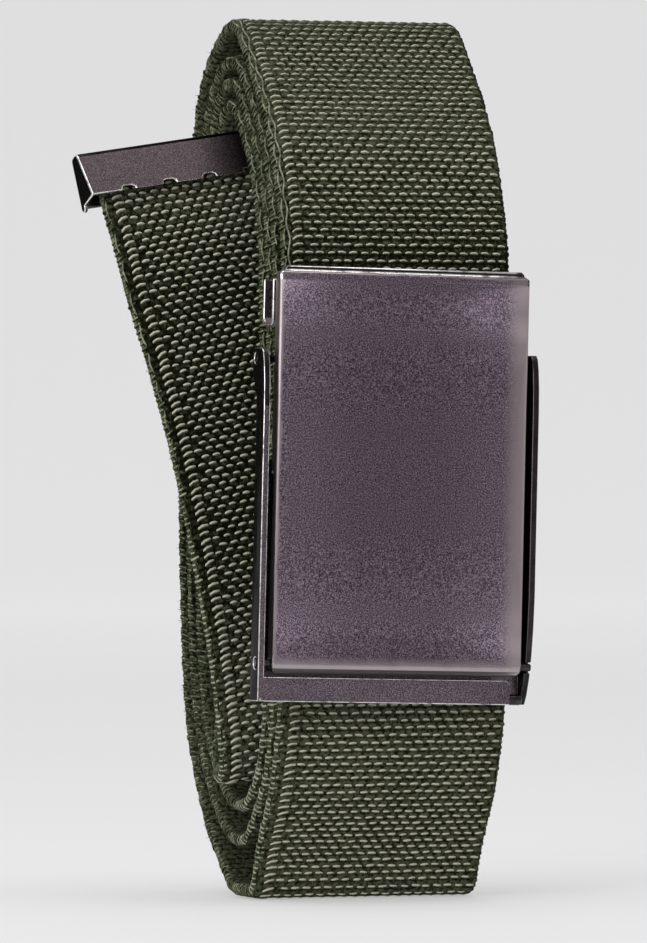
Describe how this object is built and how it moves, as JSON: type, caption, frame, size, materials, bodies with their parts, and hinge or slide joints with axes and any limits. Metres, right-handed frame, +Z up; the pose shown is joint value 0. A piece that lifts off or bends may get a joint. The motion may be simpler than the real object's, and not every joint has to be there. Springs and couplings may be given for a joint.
{
  "type": "belt",
  "caption": "Elastic web belt rolled into a flattened upright coil, with a hinged plate buckle in front and a crimped metal tip on its free end.",
  "frame": {"origin": "middle of the underside of the coil, on the surface it stands on", "axes": "+Z up along the coil's height, +X across the strap to the right as the buckle is seen, +Y from the buckle through the coil to its back"},
  "size_m": [0.0674, 0.057, 0.1393],
  "materials": {
    "web": "coarse woven web",
    "gunmetal": "satin, finely speckled",
    "dark_pin": "dark, glossy"
  },
  "bodies": {
    "belt": {"strap": "web", "strap_tip": "gunmetal", "end_clamp": "gunmetal", "link_pin": "dark_pin", "buckle_frame": "gunmetal", "cross_rod": "dark_pin", "hinge_pin": "dark_pin"},
    "cover": {"cover_plate": "gunmetal"}
  },
  "joints": [
    {"name": "cover_hinge", "type": "hinge", "parent": "belt", "child": "cover", "pos_m": [0.00998, -0.0269, 0.03724], "axis": [0.9997, 0, -0.0244], "range_deg": [0, 95]}
  ]
}
